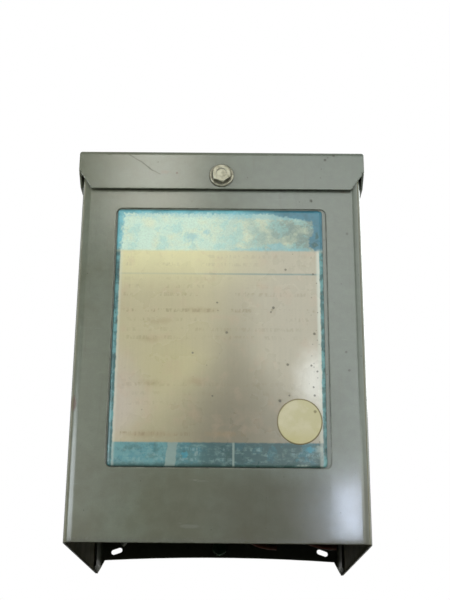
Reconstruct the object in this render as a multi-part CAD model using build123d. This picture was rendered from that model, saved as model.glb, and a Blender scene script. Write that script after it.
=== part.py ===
from build123d import *
import math
import os

# Small dry-type transformer in a folded sheet-steel case, open at the bottom for its wiring.
# Millimetres. +Z is up, -Y is the front with the nameplate, and +X is to the right seen from the front.
# The origin is in the middle of the overall plan, at the level of the case's bottom edges.

# Case: front and sides are one bent sheet, and the pan at the back closes it.
CASE_WIDTH = 152.8
CASE_DEPTH = 148.0
CASE_HEIGHT = 212.3
WRAP_SHEET = 1.5
WRAP_BEND_R = 4.8
PAN_SHEET = 1.5
PAN_BEND_R = 2.5
PAN_FLANGE_DEPTH = 22.0

# Bottom edge of the pan: a flat arch between two diagonal corners.
ARCH_SIDE_Z = 7.9
ARCH_RISE = 2.1
ARCH_INSET = 5.5

# Mounting holes in the pan: slots low down, keyholes above them near the top.
MOUNT_INSET = 12.7
SLOT_LENGTH = 7.0
SLOT_WIDTH = 3.1
SLOT_Z = 13.4
SLOT_SLANT_DEG = 19.0
KEYHOLE_R = 5.5
KEYHOLE_FROM_TOP = 38.3
KEYHOLE_RISE = 9.5

# Drip cap: a lid with a deep front flap, two shallower side flaps and a tongue behind.
CAP_SHEET = 1.2
CAP_BEND_R = 2.5
CAP_SIDE_GAP = 0.8
CAP_FRONT_GAP = 1.0
FRONT_FLAP = 23.0
SIDE_FLAP = 18.5
CORNER_DEPTH = 12.5
FRONT_CHAMFER = 7.5
SIDE_CHAMFER = 9.5
TONGUE_WIDTH = 104.0
TONGUE_DROP = 12.0
TONGUE_GAP = 0.3

# Hex washer-head screw that holds the front flap, and the nut behind the sheet.
SCREW_DROP = 15.1
SCREW_R = 3.1
SCREW_HOLE_R = 3.6
SCREW_LENGTH = 12.0
SCREW_FLATS = 9.5
WASHER_R = 6.7
WASHER_THICK = 1.2
SCREW_HEAD = 4.0
SCREW_TURN_DEG = 8.0
DISH_R = 2.8
DISH_DEPTH = 0.35
NUT_FLATS = 11.1
NUT_THICK = 5.0
NUT_THREAD_GAP = 0.05

# Debossed field in the front, by its distances from the sheet's edges.
FIELD_SIDE_MARGIN = 19.4
FIELD_TOP_MARGIN = 32.8
FIELD_BOTTOM_MARGIN = 37.0
FIELD_CORNER_R = 3.5
FIELD_STEP = 0.6

# Foil label in the field, by what it leaves bare on each side, and a round sticker on the label.
LABEL_LEFT_MARGIN = 0.8
LABEL_RIGHT_MARGIN = 2.2
LABEL_TOP_MARGIN = 0.7
LABEL_BOTTOM_MARGIN = 0.5
LABEL_CORNER_R = 2.0
LABEL_THICK = 0.3
STICKER_R = 12.0
STICKER_FROM_RIGHT = 13.3
STICKER_FROM_BOTTOM = 24.1
STICKER_THICK = 0.15

# Core and coil, potted in a can that is open below.
CAN_SHEET = 1.2
CAN_CORNER_R = 4.0
CAN_BOTTOM_Z = 70.0
CAN_HEADROOM = 4.3
CAN_FRONT_GAP = 1.0
CAN_BACK_GAP = 8.0
COMPOUND_RECESS = 5.0

# Half-inch conduit knockouts in the side walls, scored but not struck out.
KNOCKOUT_R = 11.1
KNOCKOUT_FROM_BACK = 44.0
KNOCKOUT_Z = 34.0
SCORE_WIDTH = 0.6
SCORE_DEPTH = 0.6
TAB_WIDTH = 3.0

# Ground screw in the pan.
GROUND_Z = 15.6
GROUND_R = 2.4
GROUND_WASHER_R = 4.6
GROUND_WASHER_THICK = 0.8
GROUND_FLATS = 7.9
GROUND_HEAD = 3.2

# Leads, cut short, that come out of the compound into the wiring space. Each first drops straight
# down and then follows points laid by hand, the last of which is its bare end.
LEAD_R = 1.5
LEAD_DROP = 22.0
LEAD_BEND_SHARE = 0.45
LEAD_EXITS = {"lead_right": (34.0, 38.0), "lead_middle": (6.0, 34.0), "lead_left": (-40.0, 44.0)}
LEAD_POINTS = {
    "lead_right": [(38.0, 40.0, 29.0), (53.0, 42.5, 12.6), (69.4, 44.0, 12.8)],
    "lead_middle": [(9.4, 36.3, 30.5), (14.0, 39.0, 19.5), (23.4, 43.2, 12.6), (33.8, 47.2, 12.8)],
    "lead_left": [(-46.0, 48.5, 30.0), (-58.6, 60.0, 15.4)],
}

# Places that follow from the sizes above.
FRONT_OVERHANG = CAP_FRONT_GAP + CAP_SHEET + SCREW_HEAD
FRONT_Y = (FRONT_OVERHANG - CASE_DEPTH) / 2
BACK_Y = FRONT_Y + CASE_DEPTH
HALF_WIDTH = CASE_WIDTH / 2
INNER_HALF = HALF_WIDTH - WRAP_SHEET
CAP_TOP_Z = CASE_HEIGHT + CAP_SHEET
CAP_HALF = HALF_WIDTH + CAP_SIDE_GAP + CAP_SHEET
CAP_FRONT_Y = FRONT_Y - CAP_FRONT_GAP - CAP_SHEET
SCREW_Z = CAP_TOP_Z - SCREW_DROP
PAN_FRONT_Y = BACK_Y - PAN_SHEET
PAN_FLANGE_Y = PAN_FRONT_Y - PAN_FLANGE_DEPTH
MOUNT_X = HALF_WIDTH - MOUNT_INSET
KEYHOLE_Z = CASE_HEIGHT - KEYHOLE_FROM_TOP
FIELD_X = (FIELD_SIDE_MARGIN - HALF_WIDTH, HALF_WIDTH - FIELD_SIDE_MARGIN)
FIELD_Z = (FIELD_BOTTOM_MARGIN, CASE_HEIGHT - FIELD_TOP_MARGIN)
FIELD_FLOOR_Y = FRONT_Y + FIELD_STEP
LABEL_X = (FIELD_X[0] + LABEL_LEFT_MARGIN, FIELD_X[1] - LABEL_RIGHT_MARGIN)
LABEL_Z = (FIELD_Z[0] + LABEL_BOTTOM_MARGIN, FIELD_Z[1] - LABEL_TOP_MARGIN)
LABEL_FACE_Y = FIELD_FLOOR_Y - LABEL_THICK
CAN_HALF_WIDTH = INNER_HALF - PAN_SHEET
CAN_TOP_Z = SCREW_Z - NUT_FLATS / 2 - CAN_HEADROOM
COMPOUND_Z = CAN_BOTTOM_Z + COMPOUND_RECESS
FAR = CASE_WIDTH + CASE_DEPTH + CASE_HEIGHT


def box(x, y, z):
    """A box from three (low, high) pairs."""
    size = [high - low for low, high in (x, y, z)]
    middle = [(high + low) / 2 for low, high in (x, y, z)]
    return Pos(*middle) * Box(*size)


def rod_y(radius, y_low, y_high, x=0.0, z=0.0):
    """A round rod along Y."""
    return Pos(x, (y_low + y_high) / 2, z) * Rot(90, 0, 0) * Cylinder(radius, y_high - y_low)


def plate_y(sketch, y_low, y_high):
    """A flat outline, drawn with X to the right and Z up, made solid between two depths."""
    return Pos(0, y_high, 0) * extrude(Plane.XZ * sketch, y_high - y_low, dir=(0, -1, 0))


def hex_prism_y(flats, y_low, y_high, chamfer_front=0.0):
    """A hexagon with one corner down, with its front corners rounded off by a cone."""
    corner_r = flats / math.sqrt(3)
    hexagon = plate_y(RegularPolygon(corner_r, 6, rotation=30), y_low, y_high)
    if not chamfer_front:
        return hexagon
    length = y_high - y_low
    rod = Rot(90, 0, 0) * Cylinder(corner_r + 0.1, length)
    rod = Pos(0, (y_low + y_high) / 2, 0) * chamfer(
        rod.edges().group_by(Axis.Y)[0], chamfer_front, chamfer_front * 1.6
    )
    return hexagon & rod


def bent_wall(half_width, front_y, back_y, height, bend_r):
    """A block whose two front vertical edges are rounded like a bend."""
    block = box((-half_width, half_width), (front_y, back_y), (0, height))
    if bend_r <= 0:
        return block
    front_edges = block.edges().filter_by(Axis.Z).group_by(Axis.Y)[0]
    return fillet(front_edges, bend_r)


def rounded_field(x, z, corner_r, shrink=0.0):
    """A rounded rectangle on the front from two (low, high) pairs, smaller all round by shrink."""
    outline = RectangleRounded(x[1] - x[0] - 2 * shrink, z[1] - z[0] - 2 * shrink, corner_r)
    return Pos((x[0] + x[1]) / 2, (z[0] + z[1]) / 2) * outline


def make_case_wrap():
    """Front and both sides, bent from one sheet, with the nameplate field pressed in."""
    outside = bent_wall(HALF_WIDTH, FRONT_Y, BACK_Y, CASE_HEIGHT, WRAP_BEND_R)
    inside = bent_wall(INNER_HALF, FRONT_Y + WRAP_SHEET, FAR, CASE_HEIGHT, WRAP_BEND_R - WRAP_SHEET)
    wrap = outside - inside
    field = rounded_field(FIELD_X, FIELD_Z, FIELD_CORNER_R)
    pad = rounded_field(FIELD_X, FIELD_Z, FIELD_CORNER_R, shrink=-FIELD_STEP)
    inner_y = FRONT_Y + WRAP_SHEET
    wrap += plate_y(pad, inner_y, inner_y + FIELD_STEP)
    wrap -= plate_y(field, FRONT_Y - 1, FIELD_FLOOR_Y)
    wrap -= rod_y(SCREW_HOLE_R, FRONT_Y - 1, inner_y + 1, z=SCREW_Z)
    for side in (-1, 1):
        wrap -= knockout_score(side)
    return wrap


def knockout_score(side):
    """The sheared line round a knockout, left whole at two tabs."""
    ring = Cylinder(KNOCKOUT_R, SCORE_DEPTH * 2) - Cylinder(KNOCKOUT_R - SCORE_WIDTH, SCORE_DEPTH * 2)
    ring -= Box(TAB_WIDTH, 3 * KNOCKOUT_R, SCORE_DEPTH * 3)
    ring = Rot(0, 90, 0) * ring
    return Pos(side * HALF_WIDTH, BACK_Y - KNOCKOUT_FROM_BACK, KNOCKOUT_Z) * ring


def pan_bottom_cut():
    """What is cut from below the pan: diagonal corners and a flat arch between them."""
    arch_half = HALF_WIDTH - ARCH_INSET
    arch_end = (arch_half, ARCH_SIDE_Z)
    arch_start = (-arch_half, ARCH_SIDE_Z)
    with BuildSketch() as sketch:
        with BuildLine():
            # The diagonals run out at the pan's own edges, so that no step is left at the tips.
            Polyline(arch_start, (-INNER_HALF, 0), (-INNER_HALF, -1), (INNER_HALF, -1), (INNER_HALF, 0), arch_end)
            ThreePointArc(arch_end, (0, ARCH_SIDE_Z + ARCH_RISE), arch_start)
        make_face()
    return plate_y(sketch.sketch, PAN_FLANGE_Y - 1, BACK_Y + 1)


def keyhole_outline(side):
    """A round hole for a screw head, with a narrow slot above it for the shank."""
    shank_slot = Pos(0, KEYHOLE_RISE / 2) * Rot(0, 0, 90) * SlotCenterToCenter(KEYHOLE_RISE, SLOT_WIDTH)
    return Pos(side * MOUNT_X, KEYHOLE_Z) * (Circle(KEYHOLE_R) + shank_slot)


def slot_outline(side):
    """A slanted slot, lower at its outer end."""
    slot = Rot(0, 0, -side * SLOT_SLANT_DEG) * SlotOverall(SLOT_LENGTH, SLOT_WIDTH)
    return Pos(side * MOUNT_X, SLOT_Z) * slot


def make_back_panel():
    """The pan that is screwed to the wall: a plate with two flanges bent forward inside the sides."""
    outside = box((-INNER_HALF, INNER_HALF), (PAN_FLANGE_Y, BACK_Y), (0, CASE_HEIGHT))
    outside = fillet(outside.edges().filter_by(Axis.Z).group_by(Axis.Y)[-1], PAN_BEND_R)
    inner_half = INNER_HALF - PAN_SHEET
    inside = box((-inner_half, inner_half), (PAN_FLANGE_Y - 1, PAN_FRONT_Y), (-1, CASE_HEIGHT + 1))
    inside = fillet(inside.edges().filter_by(Axis.Z).group_by(Axis.Y)[-1], PAN_BEND_R - PAN_SHEET)
    pan = outside - inside - pan_bottom_cut()
    for side in (-1, 1):
        pan -= plate_y(slot_outline(side), PAN_FRONT_Y - 1, BACK_Y + 1)
        pan -= plate_y(keyhole_outline(side), PAN_FRONT_Y - 1, BACK_Y + 1)
    pan -= rod_y(GROUND_R, PAN_FRONT_Y - 1, BACK_Y + 1, z=GROUND_Z)
    return pan


def make_top_cap():
    """The drip cap. Front and side flaps meet at closed corners and are chamfered below them."""
    flap_low_z = CAP_TOP_Z - FRONT_FLAP
    side_low_z = CAP_TOP_Z - SIDE_FLAP
    corner_z = CAP_TOP_Z - CORNER_DEPTH
    outside = box((-CAP_HALF, CAP_HALF), (CAP_FRONT_Y, BACK_Y), (flap_low_z, CAP_TOP_Z))
    top_edges = outside.edges().group_by(Axis.Z)[-1]
    back_edge = top_edges.sort_by(Axis.Y)[-1]
    outside = fillet([edge for edge in top_edges if edge != back_edge], CAP_BEND_R)
    inner_half = CAP_HALF - CAP_SHEET
    inner_y = CAP_FRONT_Y + CAP_SHEET
    cap = outside - box((-inner_half, inner_half), (inner_y, FAR), (flap_low_z - 1, CASE_HEIGHT))

    # Front flap: its lower corners are cut off on a slant.
    for side in (-1, 1):
        corner = Polygon(
            (side * CAP_HALF, corner_z),
            (side * (CAP_HALF - FRONT_CHAMFER), flap_low_z),
            (side * (CAP_HALF - FRONT_CHAMFER), flap_low_z - 1),
            (side * (CAP_HALF + 1), flap_low_z - 1),
            (side * (CAP_HALF + 1), corner_z),
            align=None,
        )
        cap -= plate_y(corner, CAP_FRONT_Y - 1, inner_y)

    # Side flaps: shallower, and slanted down from the closed corner.
    side_cut = Plane.YZ * Polygon(
        (CAP_FRONT_Y, corner_z),
        (CAP_FRONT_Y + SIDE_CHAMFER, side_low_z),
        (BACK_Y + 1, side_low_z),
        (BACK_Y + 1, flap_low_z - 1),
        (CAP_FRONT_Y, flap_low_z - 1),
        align=None,
    )
    side_cut = extrude(side_cut, FAR, both=True)
    cap -= side_cut - box((-inner_half, inner_half), (-FAR, FAR), (-FAR, FAR))

    tongue_back_y = PAN_FRONT_Y - TONGUE_GAP
    half_tongue = TONGUE_WIDTH / 2
    tongue_y = (tongue_back_y - CAP_SHEET, tongue_back_y)
    cap += box((-half_tongue, half_tongue), tongue_y, (CASE_HEIGHT - TONGUE_DROP, CASE_HEIGHT))
    cap -= rod_y(SCREW_HOLE_R, CAP_FRONT_Y - 1, inner_y + 1, z=SCREW_Z)
    return cap


def make_cap_screw():
    """Hex washer-head screw with a dished top, its washer tight on the flap."""
    head_y = CAP_FRONT_Y - SCREW_HEAD
    washer_y = CAP_FRONT_Y - WASHER_THICK
    washer = rod_y(WASHER_R, washer_y, CAP_FRONT_Y)
    washer = chamfer(washer.edges().group_by(Axis.Y)[0], WASHER_THICK * 0.4)
    head = hex_prism_y(SCREW_FLATS, head_y, washer_y, chamfer_front=0.6)
    head -= rod_y(DISH_R, head_y - 1, head_y + DISH_DEPTH)
    shank = rod_y(SCREW_R, CAP_FRONT_Y, CAP_FRONT_Y + SCREW_LENGTH)
    return Pos(0, 0, SCREW_Z) * Rot(0, -SCREW_TURN_DEG, 0) * (washer + head + shank)


def make_cap_nut():
    """The nut behind the front sheet."""
    inner_y = FRONT_Y + WRAP_SHEET
    nut = hex_prism_y(NUT_FLATS, inner_y, inner_y + NUT_THICK)
    nut -= rod_y(SCREW_R + NUT_THREAD_GAP, inner_y - 1, inner_y + NUT_THICK + 1)
    return Pos(0, 0, SCREW_Z) * nut


def make_nameplate():
    """Foil label, flat on the floor of its field."""
    return plate_y(rounded_field(LABEL_X, LABEL_Z, LABEL_CORNER_R), LABEL_FACE_Y, FIELD_FLOOR_Y)


def make_round_sticker():
    """Paper sticker on the label."""
    x = LABEL_X[1] - STICKER_FROM_RIGHT
    z = LABEL_Z[0] + STICKER_FROM_BOTTOM
    return rod_y(STICKER_R, LABEL_FACE_Y - STICKER_THICK, LABEL_FACE_Y, x=x, z=z)


def can_block(shrink, low_z, high_z):
    """A block between the pan's flanges with rounded upright edges, smaller all round by a wall."""
    front_y = FRONT_Y + WRAP_SHEET + FIELD_STEP + CAN_FRONT_GAP + shrink
    back_y = PAN_FRONT_Y - CAN_BACK_GAP - shrink
    half_width = CAN_HALF_WIDTH - shrink
    block = box((-half_width, half_width), (front_y, back_y), (low_z, high_z))
    return fillet(block.edges().filter_by(Axis.Z), CAN_CORNER_R - shrink)


def make_coil_can():
    """The can of the core and coil, open below and carried by the pan's flanges."""
    return can_block(0, CAN_BOTTOM_Z, CAN_TOP_Z) - can_block(CAN_SHEET, CAN_BOTTOM_Z - 1, CAN_TOP_Z - CAN_SHEET)


def make_potting_compound():
    """The compound that fills the can, a little short of its rim."""
    return can_block(CAN_SHEET, COMPOUND_Z, CAN_TOP_Z - CAN_SHEET)


def make_lead(name):
    """A round lead: straight runs joined by arcs as large as the runs beside them allow."""
    x, y = LEAD_EXITS[name]
    route = [Vector(x, y, COMPOUND_Z), Vector(x, y, COMPOUND_Z - LEAD_DROP)]
    route += [Vector(*point) for point in LEAD_POINTS[name]]
    runs = [end - start for start, end in zip(route, route[1:])]
    radii = []
    for run, next_run in zip(runs, runs[1:]):
        half_turn = math.radians(run.get_angle(next_run)) / 2
        radii.append(LEAD_BEND_SHARE * min(run.length, next_run.length) / math.tan(half_turn))
    path = FilletPolyline(*route, radius=radii)
    lead = sweep(Plane(path @ 0, z_dir=path % 0) * Circle(LEAD_R), path=path)
    print(name, "radii", [round(radius, 1) for radius in radii], "length", round(path.length, 1),
          "volume share", round(lead.volume / (math.pi * LEAD_R**2 * path.length), 4))
    return lead


def make_ground_screw():
    """Short screw in the pan, for the earth wire."""
    washer_y = PAN_FRONT_Y - GROUND_WASHER_THICK
    head_y = PAN_FRONT_Y - GROUND_HEAD
    screw = rod_y(GROUND_R, PAN_FRONT_Y, BACK_Y)
    screw += rod_y(GROUND_WASHER_R, washer_y, PAN_FRONT_Y)
    screw += hex_prism_y(GROUND_FLATS, head_y, washer_y, chamfer_front=0.5)
    return Pos(0, 0, GROUND_Z) * screw


PIECES = {
    "case_wrap": make_case_wrap,
    "back_panel": make_back_panel,
    "top_cap": make_top_cap,
    "cap_screw": make_cap_screw,
    "cap_nut": make_cap_nut,
    "nameplate": make_nameplate,
    "round_sticker": make_round_sticker,
    "coil_can": make_coil_can,
    "potting_compound": make_potting_compound,
    "ground_screw": make_ground_screw,
}

os.makedirs("parts", exist_ok=True)
for name, make in PIECES.items():
    export_step(make(), f"parts/{name}.step")
for name in LEAD_EXITS:
    export_step(make_lead(name), f"parts/{name}.step")
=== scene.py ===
import math

import bpy
from mathutils import Matrix, Vector, noise


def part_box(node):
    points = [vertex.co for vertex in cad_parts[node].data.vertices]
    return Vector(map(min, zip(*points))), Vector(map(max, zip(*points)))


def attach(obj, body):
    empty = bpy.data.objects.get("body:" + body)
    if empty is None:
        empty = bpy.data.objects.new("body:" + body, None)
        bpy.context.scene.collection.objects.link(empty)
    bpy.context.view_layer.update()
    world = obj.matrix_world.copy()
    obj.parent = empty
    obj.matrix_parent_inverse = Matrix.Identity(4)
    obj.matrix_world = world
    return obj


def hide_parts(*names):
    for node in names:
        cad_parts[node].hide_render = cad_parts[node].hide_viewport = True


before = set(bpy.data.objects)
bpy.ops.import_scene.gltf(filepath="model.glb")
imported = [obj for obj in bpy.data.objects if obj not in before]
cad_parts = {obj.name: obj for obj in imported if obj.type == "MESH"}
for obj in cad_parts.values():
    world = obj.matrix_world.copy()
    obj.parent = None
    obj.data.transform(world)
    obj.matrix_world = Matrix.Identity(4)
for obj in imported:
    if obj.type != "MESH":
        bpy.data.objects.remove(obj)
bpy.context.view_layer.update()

# Small dry-type transformer, seen from its front and a little from below.
# Metres, with +Z up and the front facing -Y. Materials work in millimetres of the same frame.
MM = 0.001

# Camera, as the photograph was taken: below the case's lower edge and looking up at its front.
CAMERA_AT = (0.0052, -0.6138, -0.0697)
CAMERA_RISE_DEG = 19.88
CAMERA_PAN_DEG = 0.275
CAMERA_ROLL_DEG = 0.55
CAMERA_LENS = 65.5
CAMERA_NEAREST = 0.01
SENSOR_LONG_SIDE = 36.0

# Stage: the floor lies a hair below the case's edges, and fades to white from near to far.
FLOOR_DROP = 0.3 * MM
FLOOR_SIZE = 8.0
FLOOR_NEAR, FLOOR_FAR = 0.45, 1.3
WORLD_LIGHT, WORLD_SHINE = 0.17, 0.45

# Lamps: name, place, point aimed at, width and height, watts and tint.
WARM, PLAIN = (1.0, 0.99, 0.89), (0.96, 1.0, 0.97)
COOL, PALE_BLUE = (0.72, 0.81, 1.0), (0.88, 0.95, 1.0)
CASE_MIDDLE = (0, 0, 0.1)
LAMPS = (
    ("lamp_key", (-1.10, -0.80, 1.50), CASE_MIDDLE, (0.6, 0.6), 2.0, WARM),
    ("lamp_right", (1.3, 0.15, 0.45), CASE_MIDDLE, (1.6, 1.6), 15.0, PLAIN),
    ("lamp_left", (-1.3, 0.3, 0.5), CASE_MIDDLE, (0.6, 1.4), 5.5, PLAIN),
    ("wall_right", (0.95, -0.89, 0.48), (0, 0, 0.48), (0.85, 0.65), 2.8, PLAIN),
    ("lamp_back", (0.5, 1.4, 0.9), CASE_MIDDLE, (1.0, 0.9), 13.0, PLAIN),
    ("lamp_below", (-0.15, -0.70, -0.38), (0.02, 0, 0.02), (0.6, 0.3), 0.5, WARM),
    # This one makes the bright line down the lower part of the left bend.
    ("lamp_left_bend", (-1.06, -1.06, 0.28), (-0.07, -0.07, 0.28), (1.3, 0.24), 9.5, PALE_BLUE),
)

# The upright plane that the front mirrors, and the lamps in it that the front and its right bend
# mirror towards the camera: name, place across and up, width and height, radiance and tint.
REFLECTION_Y = -1.27
REFLECTIONS = (
    ("glow_upper_left", (-0.130, 0.81), (0.15, 0.26), 9.2, WARM),
    ("glow_upper_right", (0.15, 0.66), (0.28, 0.45), 3.8, PLAIN),
    ("glow_right", (0.21, 0.36), (0.10, 0.22), 4.2, PLAIN),
    ("glow_left", (-0.25, 0.38), (0.10, 0.35), 1.6, WARM),
    ("glow_window", (0.201, 0.250), (0.032, 0.190), 41.0, COOL),
    ("glow_lower_left", (-0.37, 0.20), (0.26, 0.20), 2.8, PLAIN),
    ("glow_right_bend", (0.53, 0.27), (0.55, 0.17), 5.5, PLAIN),
)

# All that follows is in millimetres. How far behind a sheet's outer face its inner finish starts
# and is full.
INNER_STARTS, INNER_FULL = 0.9, 1.4

# The label: the step of its mesh, its corners, its ripples, the heights at which its cream field
# gives way to the header and to the foot, and the thin line across the field.
NAMEPLATE_STEP = 1.5
NAMEPLATE_CORNER_R = 2.0
FOIL_RIPPLE, FOIL_DIMPLE, FOIL_CRUMPLE = 0.035, 0.012, 0.16
HEADER_STARTS, HEADER_FULL = 154.2, 155.7
FOOT_STARTS, FOOT_FULL = 50.6, 49.6
LINE_LOW, LINE_HIGH = 141.25, 141.75

# Rows of faint dashes by height and strength, stains by place and half width, and specks by place
# and radius.
FIELD_ROWS = (
    (151.5, 0.16), (146.9, 0.18), (138.8, 0.12), (134.3, 0.22), (129.8, 0.30), (120.8, 0.45),
    (115.8, 0.24), (110.2, 0.22), (105.8, 0.26), (80.4, 0.22), (75.6, 0.16), (70.4, 0.18),
    (64.6, 0.14), (54.4, 0.45),
)
FOOT_ROWS = ((46.6, 0.35), (44.0, 0.35), (41.4, 0.35))
STAINS = (
    (-10.5, 121.0, 13), (-31.5, 114.7, 9), (-36.4, 104.7, 8), (-35.6, 81.2, 9), (-12.5, 82.2, 9),
    (-34.8, 54.2, 20), (0.7, 54.5, 11),
)
SPECKS = (
    (34.8, 144.2, 0.9), (49.4, 141.7, 0.8), (28.2, 122.6, 1.0), (26.9, 120.2, 0.7),
    (3.6, 108.7, 1.0), (-1.5, 125.2, 0.7), (49.5, 108.3, 1.0), (-14.0, 97.4, 0.8),
    (35.4, 91.4, 0.9), (31.2, 72.1, 1.1), (49.1, 75.0, 0.8), (48.6, 79.4, 0.7),
    (47.7, 91.0, 0.7), (50.7, 87.8, 0.7), (36.0, 74.9, 0.7), (-3.4, 74.4, 0.6),
)

# The sticker: its mesh, its width as a share of its height, its shift, its lifted edge and a speck.
STICKER_RINGS, STICKER_SPOKES = 14, 72
STICKER_WIDE, STICKER_LEFT, STICKER_DROP = 0.965, 0.3, 0.35
STICKER_LIFT = 0.05
STICKER_SPECK = (49.1, 66.4, 1.0)

# Leads: each drops straight from the compound and then follows its points to its bare end. The
# lengths are those of the routes with their bends.
LEAD_R = 1.5
LEAD_DROP = 22.0
LEAD_EXITS = {"lead_right": (34.0, 38.0), "lead_middle": (6.0, 34.0), "lead_left": (-40.0, 44.0)}
LEAD_POINTS = {
    "lead_right": [(38.0, 40.0, 29.0), (53.0, 42.5, 12.6), (69.4, 44.0, 12.8)],
    "lead_middle": [(9.4, 36.3, 30.5), (14.0, 39.0, 19.5), (23.4, 43.2, 12.6), (33.8, 47.2, 12.8)],
    "lead_left": [(-46.0, 48.5, 30.0), (-58.6, 60.0, 15.4)],
}


def linear(value):
    """One channel from 0 to 255 as the linear share that a shader works in."""
    share = value / 255
    return share / 12.92 if share <= 0.04045 else ((share + 0.055) / 1.055) ** 2.4


def colour(red, green, blue):
    """A display colour for a shader socket."""
    return (linear(red), linear(green), linear(blue), 1.0)


def box_mm(node):
    """The low and the high corner of a solid, in millimetres."""
    return [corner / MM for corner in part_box(node)]


NAMEPLATE_BOX = box_mm("nameplate")


class Shader:
    """One material's nodes. Places are millimetres in the object's own frame."""

    def __init__(self, name):
        self.material = bpy.data.materials.new(name)
        self.material.use_nodes = True
        self.tree = self.material.node_tree
        self.tree.nodes.clear()
        place = self.node("TexCoord").outputs["Object"]
        self.at = self.vector("MULTIPLY", place, (1 / MM, 1 / MM, 1 / MM))
        self.x, self.y, self.z = self.node("SeparateXYZ", Vector=self.at).outputs

    def put(self, socket, value):
        """Links a socket, or sets a value on it."""
        if isinstance(value, bpy.types.NodeSocket):
            self.tree.links.new(value, socket)
        else:
            socket.default_value = value

    def node(self, kind, **inputs):
        made = self.tree.nodes.new("ShaderNode" + kind)
        for name, value in inputs.items():
            self.put(made.inputs[name.replace("_", " ")], value)
        return made

    def math(self, operation, *values, clamp=False):
        made = self.node("Math")
        made.operation = operation
        made.use_clamp = clamp
        for socket, value in zip(made.inputs, values):
            self.put(socket, value)
        return made.outputs[0]

    def vector(self, operation, *values):
        made = self.node("VectorMath")
        made.operation = operation
        for socket, value in zip(made.inputs, values):
            self.put(socket, value)
        return made.outputs["Value"] if operation in ("DOT_PRODUCT", "LENGTH") else made.outputs[0]

    def minus(self, value, other):
        """One value less another."""
        return self.math("SUBTRACT", value, other)

    def plus(self, value, mask, amount, clamp=False):
        """A value raised by an amount where the mask is full."""
        return self.math("MULTIPLY_ADD", mask, amount, value, clamp=clamp)

    def times(self, *values):
        """The product of several masks."""
        product = values[0]
        for value in values[1:]:
            product = self.math("MULTIPLY", product, value)
        return product

    def most(self, *values):
        """The strongest of several masks at each point."""
        found = values[0]
        for value in values[1:]:
            found = self.math("MAXIMUM", found, value)
        return found

    def smooth(self, value, none, full, low=0.0, high=1.0):
        """A soft step that starts where value is none and ends where it is full."""
        made = self.node("MapRange", Value=value)
        made.interpolation_type = "SMOOTHSTEP"
        ends = (none, full, low, high) if none < full else (full, none, high, low)
        for name, end in zip(("From Min", "From Max", "To Min", "To Max"), ends):
            made.inputs[name].default_value = end
        return made.outputs["Result"]

    def inside(self, value, low, high, soft):
        """A mask that is full between two values and fades over soft outside them."""
        above, below = self.smooth(value, low - soft, low), self.smooth(value, high + soft, high)
        return self.times(above, below)

    def noise(self, size, detail=3.0, rough=0.55, stretch=(1, 1, 1), seed=0.0):
        """Cloud noise whose lumps are about size millimetres, longer where stretch is over 1."""
        scale = tuple(1 / (size * share) for share in stretch)
        shift = (seed, seed * 0.7, -seed)
        place = self.vector("ADD", self.vector("MULTIPLY", self.at, scale), shift)
        made = self.node("TexNoise", Vector=place, Scale=1.0, Detail=detail, Roughness=rough)
        return made.outputs[0]

    def wobble(self, value, amount, size, seed=0.0, detail=2.0):
        """A value that wanders by up to amount either way."""
        drift = self.minus(self.noise(size, detail, seed=seed), 0.5)
        return self.plus(value, drift, 2 * amount)

    def specks(self, spacing, radius, share, seed=0.0):
        """Scattered specks of up to a radius, in a share of the cells."""
        place = self.vector("ADD", self.at, (seed, -seed, seed * 0.3))
        cells = self.node("TexVoronoi", Vector=place, Scale=1 / spacing)
        away = self.times(cells.outputs["Distance"], spacing)
        chance = self.node("SeparateColor", Color=cells.outputs["Color"]).outputs[0]
        chosen = self.math("LESS_THAN", chance, share)
        return self.times(self.smooth(away, radius, radius * 0.45), chosen)

    def reach(self, x, z, wide, tall):
        """The distance on the front from a place, as a share of an oval's half width and height."""
        across = self.math("DIVIDE", self.minus(self.x, x), wide)
        up = self.math("DIVIDE", self.minus(self.z, z), tall)
        return self.math("SQRT", self.math("ADD", self.times(across, across), self.times(up, up)))

    def blob(self, x, z, wide, tall, ragged=0.25, size=3.0, seed=0.0, core=0.55):
        """A patch on the front with a ragged edge, which fades in from its rim to its core."""
        return self.smooth(self.wobble(self.reach(x, z, wide, tall), ragged, size, seed), 1.0, core)

    def dots(self, places, seed=0.0):
        """Small round marks on the front, given by their places and radii."""
        nearest, *others = [self.reach(x, z, radius, radius) for x, z, radius in places]
        for other in others:
            nearest = self.math("MINIMUM", nearest, other)
        return self.smooth(self.wobble(nearest, 0.35, 1.3, seed), 1.1, 0.4)

    def stipple(self, mask, size=0.9, grip=0.9, seed=0.0):
        """Breaks a mask up into fine dots where it fades."""
        return self.smooth(self.wobble(mask, grip / 2, size, seed, 4), 0.25, 0.75)

    def stroke(self, start, end, width, bow=0.4, size=6.0, seed=0.0):
        """A thin scratch between two places on the front, slightly bowed."""
        ahead = Vector(end) - Vector(start)
        length = ahead.length
        ahead.normalize()
        from_x, from_z = self.minus(self.x, start[0]), self.minus(self.z, start[1])
        along = self.math("ADD", self.times(from_x, ahead.x), self.times(from_z, ahead.y))
        aside = self.minus(self.times(from_x, ahead.y), self.times(from_z, ahead.x))
        aside = self.math("ABSOLUTE", self.wobble(aside, bow, size, seed))
        near = self.smooth(aside, width, width * 0.2)
        return self.times(near, self.inside(along, 0, length, 1.0))

    def layer(self, under, over, mask, share=1.0):
        """One colour over another by a share of the mask."""
        made = self.node("Mix")
        made.data_type = "RGBA"
        self.put(made.inputs[0], mask if share == 1.0 else self.times(mask, share))
        self.put(made.inputs[6], under)
        self.put(made.inputs[7], over)
        return made.outputs[2]

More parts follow.
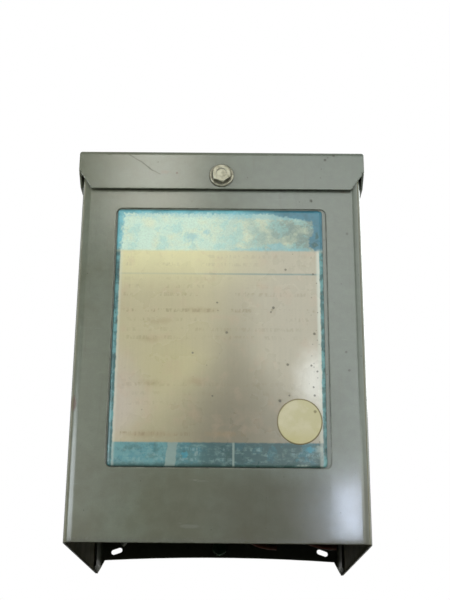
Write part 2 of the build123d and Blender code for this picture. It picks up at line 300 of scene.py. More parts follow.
    def shade(self, under, mask, low, high):
        """Scales a colour: by low where the mask is 0, and by high where it is 1."""
        factor = self.node("MapRange", Value=mask)
        factor.inputs["To Min"].default_value = low
        factor.inputs["To Max"].default_value = high
        by = factor.outputs[0]
        return self.vector("MULTIPLY", under, self.node("CombineXYZ", X=by, Y=by, Z=by).outputs[0])

    def bump(self, height, depth, normal=None):
        """A bump of up to depth millimetres, on top of another normal if one is given."""
        made = self.node("Bump", Height=height, Strength=1.0, Distance=depth * MM)
        if normal is not None:
            self.put(made.inputs["Normal"], normal)
        return made.outputs[0]

    def edges(self, radius):
        """A rounded normal, and a mask of the edges that it rounds."""
        bevel = self.node("Bevel", Radius=radius * MM)
        bevel.samples = 6
        flat = self.node("NewGeometry").outputs["Normal"]
        turn = self.vector("DOT_PRODUCT", bevel.outputs[0], flat)
        return bevel.outputs[0], self.smooth(turn, 0.995, 0.86)

    def crevice(self, reach):
        """A mask from ambient occlusion that fills inner corners and narrow gaps, where shade
        falls.
        """
        made = self.node("AmbientOcclusion", Distance=reach * MM)
        made.samples = 8
        return self.smooth(made.outputs["AO"], 0.95, 0.35)

    def finish(self, base, rough, normal=None, **settings):
        """Closes the material with one principled shader and its output."""
        shader = self.node("BsdfPrincipled", Base_Color=base, Roughness=rough, **settings)
        if normal is not None:
            self.put(shader.inputs["Normal"], normal)
        self.put(self.node("OutputMaterial").inputs["Surface"], shader.outputs[0])
        return self.material


# Camera and stage


def add_camera():
    camera = bpy.data.objects.new("camera", bpy.data.cameras.new("camera"))
    bpy.context.scene.collection.objects.link(camera)
    pan = Matrix.Rotation(math.radians(CAMERA_PAN_DEG), 4, "Z")
    rise = Matrix.Rotation(math.radians(90 + CAMERA_RISE_DEG), 4, "X")
    roll = Matrix.Rotation(math.radians(CAMERA_ROLL_DEG), 4, "Z")
    camera.matrix_world = Matrix.Translation(CAMERA_AT) @ pan @ rise @ roll
    camera.data.lens = CAMERA_LENS
    camera.data.sensor_width = SENSOR_LONG_SIDE
    camera.data.clip_start = CAMERA_NEAREST
    bpy.context.scene.camera = camera


def add_floor():
    """A pale floor that has only an upper side: the camera below it looks through it."""
    half = FLOOR_SIZE / 2
    mesh = bpy.data.meshes.new("floor")
    corners = [(-half, -half), (half, -half), (half, half), (-half, half)]
    mesh.from_pydata([(x, y, -FLOOR_DROP) for x, y in corners], [], [(0, 1, 2, 3)])
    floor = bpy.data.objects.new("floor", mesh)
    bpy.context.scene.collection.objects.link(floor)
    mesh.materials.append(floor_material())


def floor_material():
    """Pale and matt near the case, white far from it, and duller for the light it throws back."""
    made = Shader("stage_floor")
    rays = made.node("LightPath").outputs
    below = made.node("NewGeometry").outputs["Backfacing"]
    away = made.vector("LENGTH", made.vector("MULTIPLY", made.at, (MM, MM, 0)))
    far = made.smooth(away, FLOOR_NEAR, FLOOR_FAR)
    seen = made.most(rays["Is Camera Ray"], rays["Is Transmission Ray"])
    pale = made.layer(colour(236, 236, 234), colour(150, 150, 148), rays["Is Diffuse Ray"])
    matt = made.node("BsdfDiffuse", Color=pale)
    white = made.node("Emission", Color=(1, 1, 1, 1), Strength=1.0)
    clear = made.node("BsdfTransparent")

    def mix(mask, one, other):
        joined = made.node("MixShader")
        for socket, value in zip(joined.inputs, (mask, one.outputs[0], other.outputs[0])):
            made.put(socket, value)
        return joined

    upper = mix(made.times(far, seen), matt, white)
    through = mix(made.most(below, rays["Is Shadow Ray"]), upper, clear)
    made.put(made.node("OutputMaterial").inputs["Surface"], through.outputs[0])
    return made.material


def add_world():
    """Even soft light, white where the camera looks past the object, and dimmer in reflections."""
    world = bpy.data.worlds.new("world")
    bpy.context.scene.world = world
    world.use_nodes = True
    tree = world.node_tree
    tree.nodes.clear()
    rays = tree.nodes.new("ShaderNodeLightPath").outputs
    strengths = {"Is Glossy Ray": WORLD_SHINE, "Is Transmission Ray": 1.0, "Is Camera Ray": 1.0}
    strength = WORLD_LIGHT
    for name, full in strengths.items():
        chosen = tree.nodes.new("ShaderNodeMix")
        tree.links.new(rays[name], chosen.inputs[0])
        chosen.inputs[3].default_value = full
        if isinstance(strength, float):
            chosen.inputs[2].default_value = strength
        else:
            tree.links.new(strength, chosen.inputs[2])
        strength = chosen.outputs[0]
    back = tree.nodes.new("ShaderNodeBackground")
    tree.links.new(strength, back.inputs["Strength"])
    back.inputs["Color"].default_value = (1, 1, 1, 1)
    tree.links.new(back.outputs[0], tree.nodes.new("ShaderNodeOutputWorld").inputs["Surface"])


def add_lamp(name, place, aim, size, watts, tint):
    """A soft rectangular lamp that faces a point of the object."""
    lamp = bpy.data.objects.new(name, bpy.data.lights.new(name, "AREA"))
    bpy.context.scene.collection.objects.link(lamp)
    lamp.data.shape = "RECTANGLE"
    lamp.data.size, lamp.data.size_y = size
    lamp.data.energy = watts
    lamp.data.color = tint
    lamp.location = place
    lamp.rotation_mode = "QUATERNION"
    lamp.rotation_quaternion = (Vector(aim) - Vector(place)).to_track_quat("-Z", "Y")


def add_reflection(name, place, size, radiance, tint):
    """A lamp in the upright plane before the case, set by its brightness."""
    across, up = place
    watts = radiance * math.pi * size[0] * size[1]
    add_lamp(name, (across, REFLECTION_Y, up), (across, 0, up), size, watts, tint)


def add_lamps():
    for lamp in LAMPS:
        add_lamp(*lamp)
    for reflection in REFLECTIONS:
        add_reflection(*reflection)


# Materials of the case


def paint(name, marks=None, inner=None, inner_tints=None, seed=0.0):
    """Worn grey-green enamel: clouds, orange peel, grime and painted shade in corners, specks and
    rubbed edges.

    Where the inner mask is full, the enamel is matt in its own tints, as inside the case; on the
    back panel these tints are near-black painted shade.
    """
    made = Shader(name)
    rounded, edge = made.edges(0.7)
    clouds = made.noise(45, 4, seed=seed)
    mottle = made.noise(5, 4, seed=seed + 3)
    grain = made.noise(0.7, 2, 0.7, seed=seed + 5)

    base = made.layer(colour(102, 105, 87), colour(110, 115, 100), made.smooth(clouds, 0.35, 0.65))
    # Painted light: the colour turns cooler towards the right side, for cool light falling from the
    # right.
    cool_light_tint = made.smooth(made.wobble(made.x, 15, 40, seed + 2), -40, 60)
    base = made.layer(base, colour(106, 114, 106), cool_light_tint, 0.6)
    base = made.shade(base, made.smooth(mottle, 0.3, 0.7), 0.955, 1.045)
    base = made.shade(base, grain, 0.90, 1.10)

    # Painted shade: the lower part is darkened in broad patches, and made a little rougher.
    low_down = made.smooth(made.z, 75, 10)
    low_painted_shade = made.times(low_down, made.smooth(made.noise(24, 3, seed=seed + 8), 0.3, 0.7))
    base = made.layer(base, colour(84, 80, 60), low_painted_shade, 0.45)

    streaks = made.smooth(made.noise(2.2, 3, stretch=(1, 1, 16), seed=seed + 11), 0.58, 0.8)
    base = made.layer(base, colour(92, 90, 74), streaks, 0.22)

    # Painted shade with grime: inner corners and narrow gaps are darkened, and made rougher.
    crevice_dirt_and_shade = made.times(made.crevice(5), made.smooth(made.noise(3, 3, seed=seed + 14), 0.25, 0.6))
    base = made.layer(base, colour(44, 40, 28), crevice_dirt_and_shade, 0.7)

    fine = made.specks(4.5, 0.42, 0.30, seed + 17)
    coarse = made.specks(17, 0.85, 0.28, seed + 21)
    spots = made.most(fine, coarse)
    base = made.layer(base, colour(56, 50, 40), spots, 0.55)

    rubbed = made.times(edge, made.smooth(made.noise(6, 4, seed=seed + 25), 0.42, 0.6))
    base = made.layer(base, colour(150, 152, 138), rubbed, 0.55)
    scuffs = made.smooth(made.noise(3.5, 5, 0.7, (7, 7, 0.8), seed + 28), 0.64, 0.74)
    base = made.layer(base, colour(146, 148, 136), scuffs, 0.22)

    rough = made.plus(0.13, mottle, 0.06)
    if marks:
        for mark, tint, strength, rougher in marks(made):
            base = made.layer(base, tint, mark, strength)
            rough = made.plus(rough, mark, rougher)
    rough = made.plus(rough, low_painted_shade, 0.05)
    rough = made.plus(rough, crevice_dirt_and_shade, 0.30)
    rough = made.plus(rough, scuffs, 0.10)

    # Dust that has settled on what faces up.
    upward = made.vector("DOT_PRODUCT", made.node("NewGeometry").outputs["Normal"], (0, 0, 1))
    drifts = made.smooth(made.noise(12, 4, seed=seed + 41), 0.2, 0.6, 0.6, 1.0)
    settled = made.times(made.smooth(upward, 0.75, 0.95), drifts)
    base = made.layer(base, colour(128, 125, 108), settled, 0.6)
    rough = made.plus(rough, settled, 0.5)
    shine = made.plus(0.5, settled, -0.35)
    if inner:
        within = inner(made)
        # The inner tints, mixed in patches; for the back panel they are near-black painted shade.
        dusty = made.layer(*inner_tints, made.smooth(made.noise(8, 4, seed=seed + 35), 0.35, 0.65))
        base = made.layer(base, dusty, within)
        rough = made.plus(rough, within, 0.5, clamp=True)
        shine = made.plus(shine, within, -0.42, clamp=True)

    normal = made.bump(made.noise(2.2, 2, seed=seed + 31), 0.014, rounded)
    normal = made.bump(grain, 0.004, normal)
    normal = made.bump(spots, 0.03, normal)
    return made.finish(base, rough, normal, IOR=1.5, Specular_IOR_Level=shine)


def inside_wrap(made):
    """The inner faces of the front and the sides."""
    low, high = box_mm("case_wrap")
    aside = made.math("ABSOLUTE", made.x)
    return made.times(
        made.smooth(aside, high.x - INNER_STARTS, high.x - INNER_FULL),
        made.smooth(made.y, low.y + INNER_STARTS, low.y + INNER_FULL),
    )


def inside_pan(made):
    """The pan's front and the inner faces of its flanges, where painted shade lies, thinning
    towards the lower edge.
    """
    back_y = box_mm("back_panel")[1].y
    less_shade_low_down = made.smooth(made.z, 12, 45, 0.42, 1.0)
    return made.times(made.smooth(made.y, back_y - INNER_STARTS, back_y - INNER_FULL), less_shade_low_down)


def cap_marks(made):
    """Marks on the cap's front flap, each with its tint, strength and roughening."""
    scratch = colour(58, 56, 42)
    yield made.stroke((-50.7, 210.7), (-43.9, 206.4), 0.40, seed=2), scratch, 0.6, 0.1
    yield made.stroke((-44.5, 206.8), (-38.3, 201.6), 0.40, seed=4), scratch, 0.7, 0.1
    yield made.stroke((-38.6, 201.9), (-33.8, 199.2), 0.35, seed=6), colour(74, 70, 54), 0.5, 0.1
    yield made.dots([(-24.5, 199.9, 0.75)], 8), colour(74, 44, 32), 0.8, 0.2
    rust = made.blob(-31.0, 200.5, 4.0, 1.6, 0.4, 2.0, 9, core=0.1)
    yield rust, colour(120, 92, 74), 0.3, 0.0
    specks = made.dots([(57.1, 208.5, 0.9), (61.8, 211.0, 0.8), (58.6, 209.9, 0.5)], 10)
    yield specks, colour(52, 48, 38), 0.8, 0.2


def wrap_marks(made):
    """Marks on the case's front, in the same way. Its lower right is darkened and browned as
    painted shade, and made smoother.
    """
    yield made.dots([(49.1, 184.7, 1.1), (68.2, 165.2, 0.8)], 12), colour(62, 60, 50), 0.7, 0.2
    yield made.blob(67.0, 189.9, 4.0, 0.9, 0.5, 2.0, 13, core=0.2), colour(76, 66, 50), 0.6, 0.1
    yield made.blob(-14.0, 8.0, 6.0, 1.2), colour(120, 122, 110), 0.3, 0.05
    yield made.blob(-74.5, 70.0, 2.0, 5.0), colour(86, 58, 40), 0.8, 0.2
    # Painted shade: the lower right is darkened and browned, standing in for a dark reflection
    # there; it is also made smoother.
    right = made.smooth(made.wobble(made.x, 5, 18, 15), -12, 16)
    lower = made.smooth(made.wobble(made.z, 4, 14, 16), 46, 24)
    yield made.times(right, lower), colour(80, 74, 56), 0.45, -0.055


# Materials of the label and the sticker


def from_edges(made):
    """How far a point lies inside the label's left, right, lower and upper edges."""
    low, high = NAMEPLATE_BOX
    return (
        made.minus(made.x, low.x), made.minus(high.x, made.x),
        made.minus(made.z, low.z), made.minus(high.z, made.z),
    )


def cream_field(made):
    """The label's field: yellow above, pinker to the sides, darkened low in the middle as painted
    shade, and with a painted highlight on its right.
    """
    left, right = from_edges(made)[:2]
    base = made.layer(colour(184, 174, 138), colour(221, 214, 164), made.smooth(made.z, 125, 158))
    pink = made.smooth(made.wobble(made.x, 10, 25, 50), -20, 36)
    base = made.layer(base, colour(178, 170, 150), pink, 0.92)
    pinker = made.blob(-56, 72, 26, 36, 0.2, 16, 51, core=0.2)
    base = made.layer(base, colour(190, 178, 160), pinker)
    yellow = made.blob(-24, 92, 24, 24, 0.25, 12, 55, core=0.1)
    base = made.layer(base, colour(186, 177, 132), yellow, 0.6)
    # Painted highlight: a pale patch on the right of the field.
    painted_highlight = made.blob(49, 84, 14, 25, 0.25, 10, 53, core=0.1)
    base = made.layer(base, colour(226, 222, 210), painted_highlight, 0.95)

    # The painted shade is a darker column that widens downwards, low in the middle of the field,
    # standing in for a dark reflection.
    spread = made.math("MAXIMUM", 9.0, made.plus(62.0, made.z, -0.55))
    aside = made.math("DIVIDE", made.math("ABSOLUTE", made.minus(made.x, 8.0)), spread)
    column = made.smooth(made.wobble(aside, 0.15, 18, 52), 2.0, 0.0)
    painted_shade_column = made.times(made.smooth(made.z, 150, 54), column)
    base = made.layer(base, colour(120, 112, 90), painted_shade_column, 0.95)

    blush = made.smooth(made.noise(7, 4, seed=48), 0.50, 0.75)
    base = made.layer(base, colour(188, 160, 134), blush, 0.25)
    base = made.shade(base, made.noise(22, 4, seed=40), 0.94, 1.06)
    base = made.shade(base, made.noise(1.1, 3, stretch=(1, 1, 22), seed=54), 0.945, 1.055)
    base = made.shade(base, made.noise(0.8, 3, 0.7, seed=47), 0.93, 1.07)

    dashes = faint_dashes(made, FIELD_ROWS, 1.5)
    rows = made.times(made.smooth(left, 4, 6), made.smooth(right, 4, 6), dashes)
    base = made.layer(base, colour(128, 112, 80), rows)
    for x, z, wide in STAINS:
        stain = made.blob(x, z, wide, 2.8, 0.5, 3, x, core=0.0)
        base = made.layer(base, colour(150, 128, 92), stain, 0.35)

    line = made.inside(made.z, LINE_LOW, LINE_HIGH, 0.45)
    line = made.times(line, made.smooth(made.x, -30, 35, 0.22, 0.85))
    return made.layer(base, colour(122, 142, 134), line)


def faint_dashes(made, rows, tall):
    """Broken dashes in rows, each with a height and a strength."""
    bands = made.most(*(
        made.times(made.inside(made.z, z - tall / 2, z + tall / 2, 0.5), strength)
        for z, strength in rows
    ))
    dashes = made.smooth(made.noise(1.3, 2, stretch=(1, 1, 3), seed=60), 0.46, 0.62)
    kept = made.smooth(made.noise(13, 2, stretch=(1, 1, 0.4), seed=90), 0.42, 0.56)
    return made.times(bands, dashes, kept)


def pale_header(made):
    """The header: mint worn to cream, with its blue left along the edges and in smears."""
    left, right, _, top = from_edges(made)
    patches = made.noise(7, 5, 0.65, seed=44)
    base = made.layer(colour(202, 226, 206), colour(122, 142, 132), made.smooth(made.x, -15, 44))
    worn = made.smooth(made.noise(9, 4, seed=130), 0.44, 0.70)
    base = made.layer(base, colour(220, 222, 186), worn, 0.6)
    greener = made.stipple(made.smooth(patches, 0.40, 0.70), seed=131)
    base = made.layer(base, colour(146, 200, 196), greener, 0.4)
    base = made.shade(base, made.smooth(made.noise(0.9, 4, 0.75, seed=46), 0.35, 0.65), 0.90, 1.07)

    smears = made.most(
        made.times(made.smooth(top, 8.0, 2.5), made.smooth(made.x, -30, 40, 0.55, 1.0)),
        made.times(made.blob(-15.8, 162.8, 6.0, 5.4, 0.3, 2.5, 143, core=0.0), 0.85),
        made.times(made.blob(-8.0, 165.6, 4.4, 3.2, 0.3, 2.5, 144, core=0.0), 0.7),
        made.blob(30, 157.6, 8.5, 3.6, 0.3, 3, 141, core=0.1),
        made.times(made.inside(made.x, 8, 46, 5), made.smooth(made.z, 158.2, 155.6), 0.65),
    )
    base = made.layer(base, colour(124, 184, 192), made.stipple(smears, 1.3, 1.3, 142), 0.55)

    # The blue is deepest in the upper right corner, and reaches down the right side.
    past_middle = made.math("MAXIMUM", 0.0, made.minus(made.x, 26.0))
    from_top = made.wobble(made.minus(top, made.plus(1.9, past_middle, 0.18)), 1.3, 2.6, 133, 4)
    bulge = made.times(made.inside(made.z, 158.5, 161.5, 3), 2.2)
    from_right = made.wobble(made.minus(right, made.math("ADD", bulge, 4.9)), 0.9, 3, 134, 4)
    rim = made.smooth(made.z, 157, 172, 2.9, 3.6)
    from_left = made.minus(made.wobble(left, 1.2, 4, 135, 4), rim)
    kept = made.most(
        made.smooth(from_top, 2.2, -1.6),
        made.smooth(from_right, 2.2, -1.8),
        made.times(made.smooth(from_left, 2.6, -2.2), 0.8),
    )
    deep = made.smooth(made.wobble(made.x, 12, 12, 145), -10, 45)
    blue = made.layer(colour(112, 178, 186), colour(58, 116, 132), deep)
    blue = made.shade(blue, made.smooth(patches, 0.35, 0.65), 0.80, 1.12)
    base = made.layer(base, blue, made.stipple(kept, 1.3, 1.3, 136))

    corrosion = made.most(
        made.blob(50.4, 158.6, 2.8, 2.4, 0.5, 2.0, 147, core=0.2),
        made.times(made.blob(51.8, 164.0, 1.8, 4.2, 0.5, 2.0, 148, core=0.1), 0.8),
    )
    return made.layer(base, colour(40, 84, 80), made.stipple(corrosion, 0.7, seed=149), 0.85)


def blue_foot(made):
    """The foot: a blue band, darkest below, with paler rubbed places and faint dashes."""
    foot = from_edges(made)[2]
    patches = made.noise(7, 5, 0.65, seed=44)
    darker = made.smooth(made.wobble(made.x, 14, 12, 151), -42, 8)
    base = made.layer(colour(98, 148, 150), colour(52, 82, 79), darker)
    bluer = made.stipple(made.smooth(patches, 0.46, 0.66), 1.3, seed=152)
    base = made.layer(base, colour(48, 118, 132), bluer, 0.4)
    murk = made.smooth(made.noise(5, 4, 0.6, seed=153), 0.48, 0.68)
    murk = made.most(murk, made.inside(made.x, -4, 18, 8))
    base = made.layer(base, colour(42, 78, 78), murk, 0.55)
    lowest = made.smooth(made.wobble(foot, 1.2, 5, 155), 3.4, 0.6)
    base = made.layer(base, colour(44, 74, 68), lowest, 0.75)
    rubbed = made.smooth(made.noise(2.4, 4, 0.65, (1.6, 1, 0.8), 157), 0.48, 0.74)
    base = made.layer(base, colour(134, 164, 158), rubbed, 0.40)
    base = made.layer(base, colour(150, 178, 174), faint_dashes(made, FOOT_ROWS, 1.3))

    # A slanting pale strip parts the band in two.
    slant = made.plus(-23.8, made.minus(made.z, 43.5), 0.10)
    strip = made.math("ABSOLUTE", made.minus(made.x, slant))
    pale = made.most(
        made.smooth(made.wobble(strip, 0.9, 3, 159), 3.3, 1.7),
        made.times(made.blob(-11, 45, 2.0, 5.5, 0.4, 3, 161, core=0.1), 0.5),
        made.inside(made.x, 7.2, 7.9, 0.35),
        made.times(made.blob(51, 47.0, 3.5, 3.4, 0.4, 2, 163, core=0.1), 0.9),
        made.times(made.blob(43, 38.6, 8, 0.9, 0.5, 2, 165, core=0.1), 0.7),
        made.times(made.blob(33, 44, 5, 5, 0.4, 3, 166, core=0.0), 0.35),
    )
    base = made.layer(base, colour(140, 156, 146), made.stipple(pale, seed=160), 0.75)
    bright = made.most(
        made.blob(46.2, 46.7, 4.2, 2.6, 0.4, 2, 167, core=0.0),
        made.times(made.blob(-16.6, 43.6, 3.6, 3.6, 0.4, 2, 168, core=0.0), 0.9),
    )
    base = made.layer(base, colour(48, 146, 164), made.stipple(bright, 1.3, 1.1, 170), 0.6)
    green = made.most(
        made.blob(51.6, 40.5, 3.2, 3.4, 0.4, 2, 172, core=0.1),
        made.times(made.blob(4.6, 42, 2.6, 5, 0.4, 2, 174, core=0.0), 0.7),
    )
    return made.layer(base, colour(34, 68, 62), green, 0.8)


def border(made, base):
    """Teal rims at both sides with a pale line inside them, and a dark line along the lower, upper
    and left edges: grime and painted shadow.
    """
    left, right, foot, top = from_edges(made)
    low_down = made.smooth(made.z, 157, 153)
    pale_right = made.smooth(made.wobble(right, 0.4, 5, 175), 4.2, 2.6)
    pale_left = made.smooth(made.wobble(left, 0.3, 5, 176), 4.2, 2.6)
    pale = made.most(
        made.times(pale_right, made.smooth(made.z, 98, 108, 0.5, 1.0)), made.times(pale_left, 0.55)
    )
    base = made.layer(base, colour(206, 212, 198), made.times(low_down, pale), 0.75)
    rims = made.most(
        made.smooth(made.wobble(left, 0.55, 3, 171, 4), 2.7, 2.0),
        made.smooth(made.wobble(right, 0.5, 3, 173, 4), 2.2, 1.5),
    )
    lighter = made.smooth(made.noise(5, 4, seed=174), 0.42, 0.6)
    teal = made.layer(colour(62, 104, 104), colour(98, 150, 150), lighter)
    eaten = made.smooth(made.noise(3.2, 4, 0.7, (1, 1, 2), 178), 0.52, 0.64)
    teal = made.layer(teal, colour(50, 70, 64), eaten, 0.7)
    base = made.layer(base, teal, made.times(low_down, rims))
    # Grime and painted shadow: a dark line along the lower, upper and left edges.
    edge_dirt_and_shadow = made.most(
        made.smooth(foot, 0.9, 0.3),
        made.times(made.smooth(top, 0.8, 0.2), 0.8),
        made.times(made.smooth(left, 0.7, 0.2), 0.9),
    )
    return made.layer(base, colour(42, 62, 56), edge_dirt_and_shadow, 0.75)


def nameplate_material():
    """Printed foil, faded and rubbed: a pale header, a cream field and a blue foot."""
    made = Shader("label_foil")
    right = from_edges(made)[1]
    header = made.smooth(made.wobble(made.z, 0.5, 3, 180, 4), HEADER_STARTS, HEADER_FULL)
    foot = made.smooth(made.wobble(made.z, 0.4, 3, 182, 4), FOOT_STARTS, FOOT_FULL)
    base = made.layer(cream_field(made), pale_header(made), header)
    base = made.layer(base, blue_foot(made), foot)
    base = border(made, base)

    # Specks of corrosion, thickest along the right edge, and near-white marks of worn print at the
    # header's upper left, which also serve as painted glints.
    along_right = made.times(made.specks(2.6, 0.5, 0.5, 181), made.smooth(right, 12, 2))
    scattered = made.times(made.specks(6.5, 0.5, 0.25, 177), 0.7)
    spots = made.most(scattered, along_right, made.dots(SPECKS, 183))
    base = made.layer(base, colour(76, 72, 60), spots, 0.75)
    worn_flecks_and_glints = made.smooth(made.noise(1.2, 4, 0.7, seed=185), 0.66, 0.76)
    worn_flecks_and_glints = made.times(worn_flecks_and_glints, made.smooth(made.z, 150, 160), made.smooth(made.x, 0, -30))
    base = made.layer(base, colour(236, 240, 228), worn_flecks_and_glints, 0.8)

    rough = made.plus(0.22, made.noise(22, 4, seed=40), 0.12)
    rough = made.plus(rough, spots, 0.3)
    normal = made.bump(made.noise(3.2, 3, seed=187), 0.02)
    normal = made.bump(made.noise(0.8, 3, 0.7, seed=47), 0.005, normal)
    normal = made.bump(spots, 0.03, normal)
    return made.finish(base, rough, normal, IOR=1.5)


def sticker_material():
    """Yellowed paper with a brown rim where grime has caught on its glue."""
    made = Shader("sticker_paper")
    low, high = box_mm("round_sticker")
    middle, radius = (low + high) / 2, (high.x - low.x) / 2
    away = made.reach(middle.x - STICKER_LEFT, middle.z - STICKER_DROP, STICKER_WIDE, 1.0)
    up = made.minus(made.z, middle.z)
    fibre = made.noise(0.6, 4, 0.7, seed=201)
    stain = made.noise(7, 4, seed=205)
    base = made.layer(colour(196, 188, 148), colour(206, 198, 166), made.smooth(stain, 0.4, 0.65))
    base = made.layer(base, colour(186, 176, 122), made.smooth(up, -1, -10), 0.6)
    base = made.shade(base, fibre, 0.95, 1.05)
    rim = made.smooth(made.wobble(away, 0.12, 3, 207), radius - 0.9, radius - 0.25)
    base = made.layer(base, colour(112, 98, 62), rim, 0.85)
    base = made.layer(base, colour(120, 108, 74), made.dots([STICKER_SPECK], 209), 0.8)
    return made.finish(base, made.plus(0.5, stain, 0.15), made.bump(fibre, 0.02), IOR=1.45)


# Materials of the smaller pieces


def plated_material(name, tint, dark, seed):
    """Dull zinc plating with handling marks, and grime and painted shade in its corners."""
    made = Shader(name)
    rounded, edge = made.edges(0.35)
    clouds = made.noise(3, 4, seed=seed)
    base = made.layer(dark, tint, made.smooth(clouds, 0.3, 0.65))
    base = made.layer(base, colour(236, 234, 222), edge, 0.5)
    # Painted shade with grime: inner corners of the screw and nut are darkened, and made rougher.
    crevice_dirt_and_shade = made.times(made.crevice(2.4), made.smooth(made.noise(1.2, 3, seed=seed + 3), 0.1, 0.5))
    base = made.layer(base, colour(46, 42, 30), crevice_dirt_and_shade, 0.95)
    rough = made.plus(made.plus(0.28, clouds, 0.2), crevice_dirt_and_shade, 0.4)
    normal = made.bump(made.noise(0.35, 3, 0.7, seed=seed + 6), 0.012, rounded)
    return made.finish(base, rough, normal, Metallic=0.85)


def can_material():
    """Black japanned steel can, dusty and rubbed at its rim."""
    made = Shader("can_steel")
    rounded, edge = made.edges(0.6)
    dust = made.noise(9, 5, seed=231)
    base = made.layer(colour(38, 38, 36), colour(62, 60, 54), made.smooth(dust, 0.4, 0.7))
    rubbed = made.times(edge, made.smooth(made.noise(3, 4, seed=233), 0.45, 0.6))
    base = made.layer(base, colour(112, 110, 102), rubbed, 0.6)
    normal = made.bump(made.noise(1.2, 3, seed=235), 0.03, rounded)
    return made.finish(base, made.plus(0.35, dust, 0.3), normal, IOR=1.5)


def compound_material():
    """Sand-filled potting compound, with its settled grain and a few pinholes."""
    made = Shader("compound")
    grain = made.noise(1.1, 4, 0.7, seed=241)
    flow = made.noise(18, 3, seed=243)
    pits = made.specks(5, 0.8, 0.4, 245)
    base = made.layer(colour(34, 31, 27), colour(56, 50, 42), made.smooth(flow, 0.35, 0.65))
    base = made.layer(base, colour(104, 94, 78), made.smooth(grain, 0.6, 0.72), 0.5)
    # Painted shade: the pinholes are coloured near black, for the shade inside them.
    base = made.layer(base, colour(14, 13, 12), pits)
    normal = made.bump(flow, 0.6)
    normal = made.bump(grain, 0.12, normal)
    normal = made.bump(made.minus(1.0, pits), 0.4, normal)
    return made.finish(base, made.plus(0.4, grain, 0.3), normal, IOR=1.5)


def ground_material():
    """Green-dyed zinc of an earth screw, worn bright on its corners."""
    made = Shader("ground_green")
    rounded, edge = made.edges(0.4)
    clouds = made.noise(2.5, 4, seed=251)
    base = made.layer(colour(44, 76, 54), colour(70, 102, 76), made.smooth(clouds, 0.35, 0.65))
    base = made.layer(base, colour(176, 180, 168), edge, 0.6)
    # Painted shade: inner corners are darkened.
    base = made.layer(base, colour(36, 34, 26), made.crevice(1.4), 0.7)
    normal = made.bump(clouds, 0.01, rounded)
    return made.finish(base, made.plus(0.25, clouds, 0.2), normal, Metallic=0.6)


def lead_material(name, end, jacket, dusty, seed):
    """Dusty lead insulation, with the dark copper of the strands where it was cut."""
    made = Shader(name)
    dust = made.noise(5, 4, seed=seed)
    fine = made.noise(0.5, 3, 0.7, seed=seed + 3)
    base = made.layer(jacket, dusty, made.smooth(dust, 0.4, 0.7), 0.6)
    base = made.shade(base, fine, 0.92, 1.08)
    away = made.vector("LENGTH", made.vector("SUBTRACT", made.at, end))
    base = made.layer(base, colour(122, 82, 58), made.smooth(away, 1.0, 0.85))
    return made.finish(base, made.plus(0.38, dust, 0.25), made.bump(fine, 0.02), IOR=1.48)


# Pieces that stand for their plain solids


def make_lead(name, jacket, dusty, seed):
    """A lead as one smooth curve through the wiring space, from the compound to its cut end."""
    x, y = LEAD_EXITS[name]
    top_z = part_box("potting_compound")[0].z / MM
    route = [(x, y, top_z), (x, y, top_z - LEAD_DROP)] + LEAD_POINTS[name]
    curve = bpy.data.curves.new(name + "_cord", "CURVE")
    curve.dimensions = "3D"
    curve.bevel_depth = LEAD_R * MM
    curve.bevel_resolution = 6
    curve.resolution_u = 16
    curve.use_fill_caps = True
    spline = curve.splines.new("NURBS")
    spline.points.add(len(route) - 1)
    for point, place in zip(spline.points, route):
        point.co = (*(Vector(place) * MM), 1.0)
    spline.order_u = 3
    spline.use_endpoint_u = True
    curve.materials.append(lead_material(name, route[-1], jacket, dusty, seed))
    lead = bpy.data.objects.new(name + "_cord", curve)
    bpy.context.scene.collection.objects.link(lead)
    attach(lead, "root")
    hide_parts(name)
    Vector(route[0]) * MM


def make_leads():
    brown, brown_dust = colour(132, 76, 62), colour(154, 122, 108)
    white, white_dust = colour(170, 170, 162), colour(136, 130, 112)
    make_lead("lead_right", brown, brown_dust, 301)
    make_lead("lead_middle", brown, brown_dust, 311)
    make_lead("lead_left", white, white_dust, 321)


def new_piece(name, vertices, faces, material, replaced):
    """A smooth mesh in millimetres, carried by the case in place of a solid."""
    mesh = bpy.data.meshes.new(name)
    mesh.from_pydata([Vector(vertex) * MM for vertex in vertices], [], faces)
    mesh.validate()
    mesh.update()
    mesh.materials.append(material)
    piece = bpy.data.objects.new(name, mesh)
    bpy.context.scene.collection.objects.link(piece)
    for polygon in mesh.polygons:
        polygon.use_smooth = True
    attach(piece, "root")
    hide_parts(replaced)


def foil_height(x, z):
    """How far the foil's face stands off the floor of its field, in millimetres."""
    low, high = NAMEPLATE_BOX
    thick = high.y - low.y
    ripple = noise.noise(Vector((x / 19, 0.3, z / 24))) * FOIL_RIPPLE
    dimples = noise.noise(Vector((x / 6, 4.1, z / 7))) * FOIL_DIMPLE
    near_corner = math.exp(-((x - high.x + 8) / 11) ** 2 - ((z - low.z - 5) / 8) ** 2)
    crumple = abs(noise.noise(Vector((x / 2.6, 9.7, z / 4.4)))) * FOIL_CRUMPLE * near_corner
    return thick + ripple + dimples + crumple


def make_nameplate():
    """The foil as a thin closed sheet, with ripples, and crumpled at its lower right corner."""
    low, high = NAMEPLATE_BOX
    columns = round((high.x - low.x) / NAMEPLATE_STEP)
    rows = round((high.z - low.z) / NAMEPLATE_STEP)
    face, back = [], []
    for row in range(rows + 1):
        for column in range(columns + 1):
            x = low.x + (high.x - low.x) * column / columns
            z = low.z + (high.z - low.z) * row / rows
            x, z = round_off(x, z, low, high, NAMEPLATE_CORNER_R)
            face.append((x, high.y - foil_height(x, z), z))
            back.append((x, high.y, z))
    faces = sheet_faces(columns, rows)
    new_piece("nameplate_foil", face + back, faces, nameplate_material(), "nameplate")


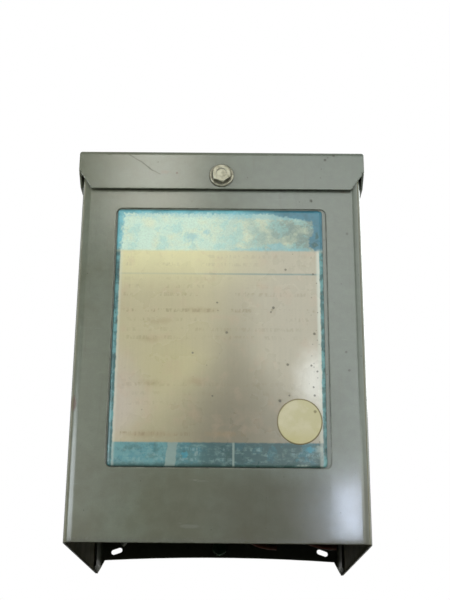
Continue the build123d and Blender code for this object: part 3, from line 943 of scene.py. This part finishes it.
def round_off(x, z, low, high, corner_r):
    """Moves a point of a square corner onto a round one."""
    corner_x = min(max(x, low.x + corner_r), high.x - corner_r)
    corner_z = min(max(z, low.z + corner_r), high.z - corner_r)
    out_x, out_z = (x - corner_x) / corner_r, (z - corner_z) / corner_r
    return (
        corner_x + corner_r * out_x * math.sqrt(1 - out_z * out_z / 2),
        corner_z + corner_r * out_z * math.sqrt(1 - out_x * out_x / 2),
    )


def sheet_faces(columns, rows):
    """The faces of a closed sheet whose points are two grids, its face and then its back."""
    width = columns + 1
    offset = width * (rows + 1)
    faces = []
    for row in range(rows):
        for column in range(columns):
            corner = row * width + column
            quad = (corner, corner + 1, corner + width + 1, corner + width)
            faces.append(quad)
            faces.append(tuple(offset + index for index in reversed(quad)))
    rim = list(range(width))
    rim += [row * width + columns for row in range(1, rows + 1)]
    rim += [rows * width + column for column in range(columns - 1, -1, -1)]
    rim += [row * width for row in range(rows - 1, 0, -1)]
    for start, end in zip(rim, rim[1:] + rim[:1]):
        faces.append((end, start, offset + start, offset + end))
    return faces


def make_sticker():
    """The round paper sticker, following the foil under it, its edge a little lifted."""
    low, high = box_mm("round_sticker")
    middle, radius = (low + high) / 2, (high.x - low.x) / 2
    thick = high.y - low.y
    floor_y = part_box("nameplate")[1].y / MM
    vertices, faces = [], []
    for side in (thick, 0.0):
        for ring in range(STICKER_RINGS + 1):
            for spoke in range(STICKER_SPOKES):
                angle = math.tau * spoke / STICKER_SPOKES
                reach = radius * ring / STICKER_RINGS
                x = middle.x - STICKER_LEFT + STICKER_WIDE * reach * math.cos(angle)
                z = middle.z - STICKER_DROP + reach * math.sin(angle)
                lift = STICKER_LIFT * (ring / STICKER_RINGS) ** 6 * (1 + math.sin(3 * angle))
                vertices.append((x, floor_y - foil_height(x, z) - side - lift, z))
    count = (STICKER_RINGS + 1) * STICKER_SPOKES
    for ring in range(STICKER_RINGS):
        for spoke in range(STICKER_SPOKES):
            after = (spoke + 1) % STICKER_SPOKES
            inner, outer = ring * STICKER_SPOKES, (ring + 1) * STICKER_SPOKES
            quad = (inner + spoke, outer + spoke, outer + after, inner + after)
            faces.append(quad)
            faces.append(tuple(count + index for index in reversed(quad)))
    last = STICKER_RINGS * STICKER_SPOKES
    for spoke in range(STICKER_SPOKES):
        after = (spoke + 1) % STICKER_SPOKES
        faces.append((last + after, last + spoke, count + last + spoke, count + last + after))
    material = sticker_material()
    new_piece("sticker_disc", vertices, faces, material, "round_sticker")


def dress(node, material):
    """Gives a solid of the frame its material."""
    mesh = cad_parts[node].data
    mesh.materials.clear()
    mesh.materials.append(material)


def dress_case():
    walls = colour(104, 102, 82), colour(124, 120, 98)
    # Painted shade: near-black inner tints for the back panel, deep inside the case.
    depth = colour(42, 40, 31), colour(58, 56, 44)
    dress("case_wrap", paint("case_paint_wrap", wrap_marks, inside_wrap, walls))
    dress("top_cap", paint("case_paint_cap", cap_marks, seed=37.0))
    dress("back_panel", paint("case_paint_pan", inner=inside_pan, inner_tints=depth, seed=71.0))
    zinc = plated_material("plated_steel", colour(160, 158, 140), colour(118, 114, 98), 211)
    dress("cap_screw", zinc)
    dress("cap_nut", zinc)
    dress("coil_can", can_material())
    dress("potting_compound", compound_material())
    dress("ground_screw", ground_material())


bpy.context.scene.view_settings.view_transform = "Standard"
add_camera()
add_floor()
add_world()
add_lamps()
dress_case()
make_nameplate()
make_sticker()
make_leads()
